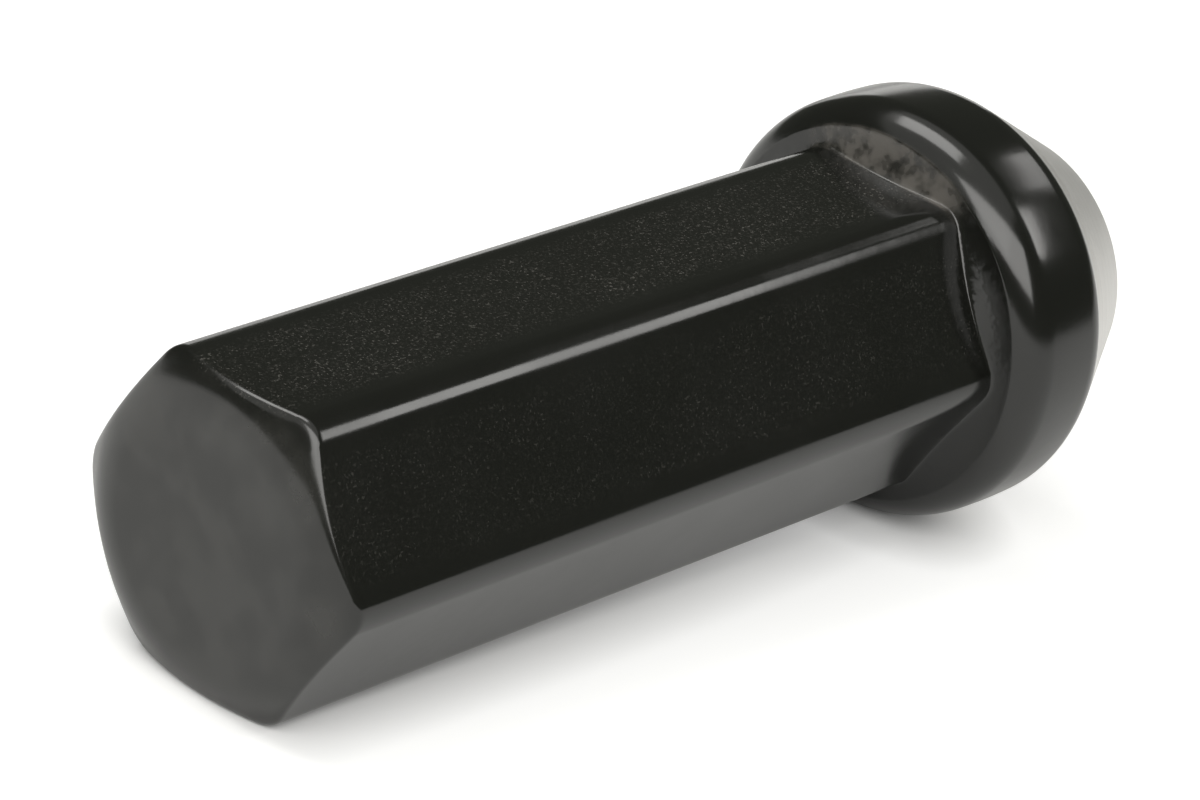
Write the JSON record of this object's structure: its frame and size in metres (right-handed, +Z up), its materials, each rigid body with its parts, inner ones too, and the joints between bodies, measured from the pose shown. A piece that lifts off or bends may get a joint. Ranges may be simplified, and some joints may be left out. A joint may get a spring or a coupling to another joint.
{
  "type": "lug nut",
  "caption": "Extended closed-end wheel lug nut in black-coated steel, with a rounded hex, a bulged collar, a 60 degree cone seat and a blind tapped hole.",
  "frame": {"origin": "on the surface that the nut lies on, under the middle of its length", "axes": "+X along the nut towards its open end, +Z up; the nut lies on a flat and on its collar, so its own axis rises 3.9 degrees towards the open end"},
  "size_m": [0.0704, 0.0266, 0.0268],
  "materials": {
    "coated_steel": "semi-gloss black coating with a slight orange peel"
  },
  "bodies": {
    "root": {"lug_nut": "coated_steel"}
  },
  "joints": []
}
